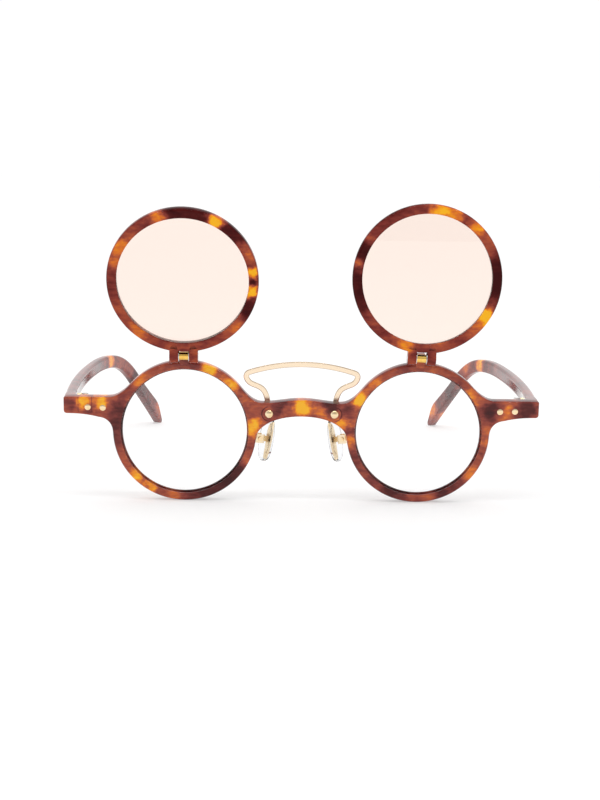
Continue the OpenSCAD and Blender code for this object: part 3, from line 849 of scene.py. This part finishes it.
def ring_shape(inner, outer, thickness):
    """A round rim with rolled edges and a lens groove."""
    half = thickness / 2
    outside = (arc((outer - EDGE, half - EDGE), EDGE, 90, 0, 6)
               + arc((outer - EDGE, EDGE - half), EDGE, 0, -90, 6))
    inside = arc((inner + INNER_EDGE, INNER_EDGE - half), INNER_EDGE, 270, 180, 4)
    groove = [Vector((inner, -GROOVE)), Vector((inner + GROOVE, 0)), Vector((inner, GROOVE))]
    top = arc((inner + INNER_EDGE, half - INNER_EDGE), INNER_EDGE, 180, 90, 4)
    far, near = outer - EDGE - SUPPORT, inner + INNER_EDGE + SUPPORT
    line = ([Vector((far, half))] + outside + [Vector((far, -half)), Vector((near, -half))]
            + inside + groove + top + [Vector((near, half))])
    return lathe([(p.x, p.y) for p in line], FLIP_SIDES)


def prong_shape(side):
    """A prong of a flip rim's fork: round about the pin, straight up to the rim."""
    corner = math.degrees(math.acos(FLIP_T / 2 / PRONG_R))
    top = FLIP_RIM_W / 2 - FLIP_R
    outline = [Vector((FLIP_T / 2, top))] + arc((0, -DROP), PRONG_R, corner, -180 - corner, 26) + [
        Vector((-FLIP_T / 2, top))]
    return moved(slab(outline, PRONG_W, PRONG_EDGE), crosswise(side * (FORK_IN + PRONG_W / 2)))


def rod_shape(radius, x0, x1, z):
    """A plain round bar along X, at a height z."""
    ends = [(radius, x0), (radius, x1), (AXIS, x1), (AXIS, x0)]
    turn_over = Matrix(((0, 1, 0, 0), (-1, 0, 0, 0), (0, 0, 1, z), (0, 0, 0, 1)))
    return moved(lathe(ends, ROD_SIDES), turn_over)


def make_flip(name, spots, seed):
    """A flip rim with its fork, and its tinted lens."""
    place = flip_places[name]
    tortoise = acetate("tortoise_flip_" + name, round_spots(FLIP_R - FLIP_RIM_W / 2, spots), seed, base=0.47,
                       gloss=0.08, wall_from=FLIP_T / 2)
    rim = piece("flip_rim_" + name + "_acetate", ring_shape(FLIP_OPEN_R, FLIP_R, FLIP_T), place, tortoise)
    cut(rim, [prong_shape(s) for s in (LEFT, RIGHT)], "UNION")
    cut(rim, [rod_shape(NOTCH_R, -FORK_IN, FORK_IN, -DROP)], "DIFFERENCE")
    fit(rim, "flip_" + name, "tortoise_acetate", "flip_rim_" + name)
    lens = piece("flip_lens_" + name + "_tinted", lens_shape(FLIP_OPEN_R, FLIP_LENS_T), place, TINT)
    fit(lens, "flip_" + name, "tinted_lens", "flip_lens_" + name)


# ---------------------------------------------------------------- the temples


def drop_ends():
    """Where a temple's straight drop starts and the corner it runs to, as Y and Z."""
    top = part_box("temple_right")[1].z / MM
    start = Vector((BEND_Y + DROP_FROM, top - DROP_DEPTH))
    run = (start.y - CORNER_Z) / math.tan(math.radians(SLOPE))
    return start, Vector((start.x + run, CORNER_Z))


def butt(z):
    """Where a temple meets the leaning front at a height z, as Y."""
    lean = math.radians(LEAN)
    return (FRONT_T / 2 + BUTT_GAP - (z - lens_line) * math.sin(lean)) / math.cos(lean)


def temple_outline():
    """A temple laid straight, in Y and Z."""
    start, corner = drop_ends()
    tip = (TIP_Y - TIP_BACK, TIP_UP)
    top = [Vector((y, LEVEL_TOP)) for y in steps(butt(LEVEL_TOP), BEND_Y - 1, 44)]
    top += bezier((BEND_Y, LEVEL_TOP), (BEND_Y + 18, LEVEL_TOP), (BEND_Y + 27, LEVEL_TOP + 0.3), start, 24)
    heading = (corner - start).normalized()
    top += [start + heading * d for d in steps(1, (corner - start).length - 3, 9)]
    under = []
    for i, p in enumerate(top):
        along = (top[min(i + 1, len(top) - 1)] - top[max(i - 1, 0)]).normalized()
        under.append(p + DROP_H * Vector((along.y, -along.x)))
    under[0] = Vector((butt(LEVEL_TOP - TEMPLE_H), LEVEL_TOP - TEMPLE_H))
    tail = bezier(top[-1], corner + heading * 0.5,
                  corner + Vector((0.5, -1.6)), (tip[0] + 0.78, tip[1] + 0.5), 10)
    nose = arc(tip, TIP_R, 10, -135, 8)
    return spaced(top + tail + nose + list(reversed(under)), 0.1)


def plan_point(y):
    """The temple's middle line seen from above, at a distance y from the front, and its direction."""
    front, near, far, bend = (TEMPLE_X + share * BOW for share in (0.0, 1.0, 1.5, 0.6))
    if y > BEND_Y:
        curve = ((bend, BEND_Y), (TEMPLE_X + 0.1 * BOW, BEND_Y + 15), (TEMPLE_X - 0.37 * TIP_IN, BEND_Y + 36),
                 (TEMPLE_X - TIP_IN, TIP_Y + 1))
    else:
        curve = ((front, 0), (near, BEND_Y * 0.3), (far, BEND_Y * 0.66), (bend, BEND_Y))
    low, high = -0.2, 1.2
    for _ in range(30):
        t = (low + high) / 2
        there = cubic(curve, t)
        low, high = (t, high) if there.y < y else (low, t)
    return there, (cubic(curve, t + 0.01) - cubic(curve, t - 0.01)).normalized()


def bent(shape):
    """A temple drawn flat in Y and Z, bent to its plan line."""
    points = []
    for p in shape[0]:
        there, along = plan_point(p.x)
        points.append(Vector((there.x + p.y * along.y, there.y - p.y * along.x, p.z)))
    return points, [tuple(reversed(f)) for f in shape[1]]


def temple_edge(y):
    """The edge radius: small where the temple meets the front and at its tip, and round between them."""
    share = min(1.0, max(0.0, (y - BUTT_SQUARE) / BUTT_BLEND))
    at_tip = TIP_EDGE + max(0.0, TIP_Y - TIP_EDGE_FROM - y) * TIP_EDGE_GROWTH
    return min(BUTT_EDGE + (TEMPLE_EDGE - BUTT_EDGE) * share, at_tip)


def make_temple(name, spots, seed):
    """A temple's acetate, in one piece from the hinge to the tip."""
    side = SIDES[name]
    line = temple_outline()
    if turning(line) < 0:
        line.reverse()
    shape = moved(bent(slab(line, TEMPLE_T, [temple_edge(p.x) for p in line])), on_side(side))
    placed = [(side * x, y, z, size, amount) for x, y, z, size, amount in spots]
    tortoise = acetate("tortoise_temple_" + name, placed, seed, base=0.36, gloss=0.5, through=THIN_IN_X)
    obj = piece("temple_" + name + "_acetate", shape, shift(0, seat_y * MM, 0), tortoise)
    fit(obj, "temple_" + name, "tortoise_acetate", "temple_" + name)


# ---------------------------------------------------------------- metal parts


def rivet_line(radius, y0, y1, dome):
    """A rivet's profile: a shank with a low domed head."""
    return [(AXIS, y0 - dome), (radius * 0.5, y0 - dome * 0.8), (radius * 0.85, y0 - dome * 0.35),
            (radius, y0 + 0.02), (radius, y1), (AXIS, y1)]


def make_rivets(name):
    """The two rivets of a temple hinge."""
    side = SIDES[name]
    line = rivet_line(RIVET_D / 2, -FRONT_T / 2, FRONT_T / 2 + RIVET_BEHIND, RIVET_DOME)
    shapes = [moved(lathe(line, RIVET_SIDES), shift(side * (END_X - x), 0, END_TOP - z)) for x, z in RIVETS]
    obj = piece("hinge_rivets_" + name, together(*shapes), front_place, GOLD)
    fit(obj, "frame", "gold", "front_rivets_" + name)


def make_ball_rivets():
    """The two ball-headed rivets of the bridge, closed behind the brow wire's eyelets."""
    r = BALL_D / 2
    back = FRONT_T / 2 + STRIP_T
    ball = [(r * math.sin(math.radians(a)) + AXIS, -FRONT_T / 2 - BALL_HEIGHT * r * math.cos(math.radians(a)))
            for a in steps(0, 90, 12)]
    line = ball + [(BALL_SHANK_R, -FRONT_T / 2), (BALL_SHANK_R, back), (BALL_NUT_R, back),
                   (BALL_NUT_R - 0.05, back + BALL_NUT_H), (AXIS, back + BALL_NUT_H + 0.05)]
    shapes = [moved(lathe(line, RIVET_SIDES), shift(s * EYELET[0], 0, EYELET[1])) for s in (LEFT, RIGHT)]
    obj = piece("bridge_ball_rivets", together(*shapes), front_place, GOLD)
    fit(obj, "frame", "gold", "bridge_rivets")


def wire_line():
    """The middle of the brow wire, from the top of its loop to the right-hand eyelet."""
    centre = Vector((0, LOOP_TOP - STRIP_W / 2 - LOOP_R))
    angle = math.degrees(math.asin((LOOP_HALF - LOOP_CORNER_IN) / LOOP_R))
    out = Vector((math.sin(math.radians(angle)), math.cos(math.radians(angle))))
    corner = centre + LOOP_R * out - LOOP_CORNER_R * out
    first, last = LOOP_TURN
    turn_end = corner + LOOP_CORNER_R * Vector((math.cos(math.radians(last)), -math.sin(math.radians(last))))
    neck = Vector((EYELET[0] + 3.1, EYELET[1] + 7.3))
    return (arc(centre, LOOP_R, 90, 90 - angle, 20) + arc(corner, LOOP_CORNER_R, first - angle, -last, 8)
            + bezier(turn_end, turn_end + Vector((-0.7, -1.7)), neck + Vector((1.7, 0.8)), neck, 12)
            + bezier(neck, neck - Vector((1.7, 0.8)), (EYELET[0] + 0.5, EYELET[1] + 5),
                     (EYELET[0] + 0.2, EYELET[1] + 0.3), 12))


def beside(line, way):
    """An open line moved to the left of its direction."""
    result = []
    for i, p in enumerate(line):
        along = (line[min(i + 1, len(line) - 1)] - line[max(i - 1, 0)]).normalized()
        result.append(p + way * Vector((-along.y, along.x)))
    return result


def open_spaced(points):
    """An open line without its repeated points."""
    kept = [points[0]]
    for p in points[1:]:
        if (p - kept[-1]).length > 0.05:
            kept.append(p)
    return kept


def make_brow_wire():
    """The flat wire over the bridge, with an eyelet plate at each end."""
    half = wire_line()
    line = open_spaced(mirrored(half) + half)
    strip = slab(beside(line, STRIP_W / 2) + list(reversed(beside(line, -STRIP_W / 2))), STRIP_T, STRIP_EDGE)
    y = FRONT_T / 2 + STRIP_T / 2
    obj = piece("brow_wire_strip", strip, front_place @ shift(0, y * MM, 0), PALE_GOLD)
    round_part = [tuple(p) for p in arc((0, 0), EYELET_R, 245, -62, 40)]
    outline = [Vector((EYELET[0] + x, EYELET[1] + z)) for x, z in (*round_part, *EYELET_STEM)]
    plate = slab(outline, STRIP_T - EYELET_PLAY, 0.1)
    cut(obj, [moved(plate, on_side(side)) for side in (LEFT, RIGHT)], "UNION")
    fit(obj, "frame", "pale_gold", "brow_wire")


# ---------------------------------------------------------------- nose pads


def pad_place(side):
    """A nose pad's own frame, in millimetres, inside the front's."""
    return on_side(side) @ shift(*PAD_PLACE) @ turn(-PAD_SPLAY, "Z") @ turn(-PAD_LEAN, "Y")


def pad_outline():
    """The rim of a pad: a long drop shape, fuller at one side."""
    w, h = PAD[1] / 2, PAD[0] / 2
    return (bezier((0, h), (-2.2, h), (-w, 3.5), (-w, 0), 12)
            + bezier((-w, 0), (-w, -4.5), (-2.4, -h), (0, -h), 12)
            + bezier((0, -h), (2.6, -h), (w, -4.2), (w, -0.8), 12)
            + bezier((w, -0.8), (w, 3), (2.2, h), (0, h), 12))


def pad_shape():
    """A soft pad: crowned towards the nose and nearly flat behind."""
    line = spaced(pad_outline())
    if turning(line) < 0:
        line.reverse()
    half = PAD[2] / 2
    loops = [
        [Vector((p.x * share, half * height / PAD_TOP, p.y * share)) for p in line]
        for share, height in (*reversed(PAD_CROWN), *PAD_BACK)
    ]
    points = [p for loop in loops for p in loop]
    size = len(line)
    faces = ring_faces(len(loops), size)
    points += [Vector((0, -half, 0)), Vector((0, half * PAD_BACK_MIDDLE, 0))]
    last = (len(loops) - 1) * size
    for i in range(size):
        j = (i + 1) % size
        faces.append((len(points) - 2, j, i))
        faces.append((last + i, last + j, len(points) - 1))
    return points, [tuple(reversed(f)) for f in faces]


def make_pads():
    """The silicone pads. They are firm mouldings."""
    for name, side in SIDES.items():
        shape = moved(moved(pad_shape(), crosswise(0)), pad_place(side))
        obj = piece("nose_pad_" + name + "_silicone", shape, front_place, SILICONE, PAD_SMOOTH)
        fit(obj, "pad_" + name, "clear_silicone", "nose_pad_" + name)


# ---------------------------------------------------------------- nodes that keep their own shape


KEPT_LOOKS = {
    "flip_barrel": BRASS,
    "pad_screw": GOLD,
    "temple_rivets": GOLD,
    "pad_arm": PALE_WIRE,
    "pad_core": PALE_WIRE,
}


def dress(node):
    """Gives a node of the frame its metal and smooth shading."""
    obj = frame["nodes"][node]
    kind = node.rsplit("_", 1)[0]
    obj.data.materials.clear()
    obj.data.materials.append(KEPT_LOOKS.get(kind, STEEL))
    for face in obj.data.polygons:
        face.use_smooth = True


# ---------------------------------------------------------------- stage, light and camera, in metres

FLOOR_REACH = 6.0
PAPER = (0.62, 0.62, 0.62)
PAPER_ROUGHNESS = 0.9
PAPER_GLOW = 0.37
TENT_DARK = 0.52
TENT_RISE = 0.5
BOX_AT = (0.0, -0.25, 0.75)
BOX_AIM = (0, -0.05, 0.03)
BOX_SIZE = (0.9, 0.015)
BOX_POWER = 1.0
SKY_ANGLE = 60
SKY_POWER = 0.3
CAMERA_AWAY = 0.45
CAMERA_UP = 9.15
CAMERA_ACROSS = -1.03
CAMERA_ROLL = 0.8
CAMERA_LENS = 68.5
AIM_X = -0.00054
AIM_Z = 0.03056


def placed_in_scene(name, data):
    """An object for this data, in the scene."""
    obj = bpy.data.objects.new(name, data)
    bpy.context.scene.collection.objects.link(obj)
    return obj


def make_stage():
    """A wide sheet of paper under the spectacles."""
    mesh = bpy.data.meshes.new("floor")
    corners = [(x * FLOOR_REACH, y * FLOOR_REACH, 0) for x, y in ((-1, -1), (1, -1), (1, 1), (-1, 1))]
    mesh.from_pydata(corners, [], [(0, 1, 2, 3)])
    mesh.materials.append(paper("paper", PAPER, PAPER_ROUGHNESS, PAPER_GLOW))
    placed_in_scene("floor", mesh)


def make_light():
    """A white tent, darker at the end that the viewer looks in from, and a soft box overhead."""
    world = bpy.data.worlds.new("tent")
    bpy.context.scene.world = world
    world.use_nodes = True
    world.node_tree.nodes.clear()
    start = Wire(world.node_tree)
    ahead = coordinate(start.node("ShaderNodeTexCoord", None, None, "Generated"), "Y")
    shade = ahead.between(-0.95, -0.2) * TENT_RISE + TENT_DARK
    back = start.node("ShaderNodeBackground", None, {"Color": (1, 1, 1, 1), "Strength": shade})
    start.node("ShaderNodeOutputWorld", None, {"Surface": back})
    box = bpy.data.lights.new("overhead", "AREA")
    box.shape = "RECTANGLE"
    box.size, box.size_y = BOX_SIZE
    box.energy = BOX_POWER
    lamp = placed_in_scene("overhead", box)
    lamp.location = BOX_AT
    lamp.rotation_mode = "QUATERNION"
    lamp.rotation_quaternion = (Vector(BOX_AIM) - Vector(BOX_AT)).to_track_quat("-Z", "Y")
    sky = bpy.data.lights.new("sky", "SUN")
    sky.angle = math.radians(SKY_ANGLE)
    sky.energy = SKY_POWER
    placed_in_scene("sky", sky)


def make_camera():
    """The viewer's place: a little above and a little to the left, the front nearly square on."""
    up, across = math.radians(CAMERA_UP), math.radians(CAMERA_ACROSS)
    aim = Vector((AIM_X, seat_y * MM, AIM_Z))
    towards = Vector((-math.sin(across) * math.cos(up), math.cos(across) * math.cos(up), -math.sin(up)))
    data = bpy.data.cameras.new("camera")
    data.lens = CAMERA_LENS
    data.sensor_width = 36.0
    data.clip_start = 0.01
    data.clip_end = 30.0
    camera = placed_in_scene("camera", data)
    camera.matrix_world = (Matrix.Translation(aim - towards * CAMERA_AWAY)
                           @ towards.to_track_quat("-Z", "Y").to_matrix().to_4x4() @ turn(CAMERA_ROLL, "Z"))
    bpy.context.scene.camera = camera
    bpy.context.scene.view_settings.view_transform = "Standard"


make_camera()
make_light()
make_stage()
make_front()
for name, place in (("left", left_lens), ("right", right_lens)):
    make_lens(name, place)
    make_rivets(name)
make_flip("left", LEFT_FLIP, 11.3)
make_flip("right", RIGHT_FLIP, 29.7)
make_temple("left", LEFT_TEMPLE, 51.0)
make_temple("right", RIGHT_TEMPLE, 77.0)
make_ball_rivets()
make_brow_wire()
make_pads()
for node, obj in frame["nodes"].items():
    if not obj.hide_render:
        dress(node)
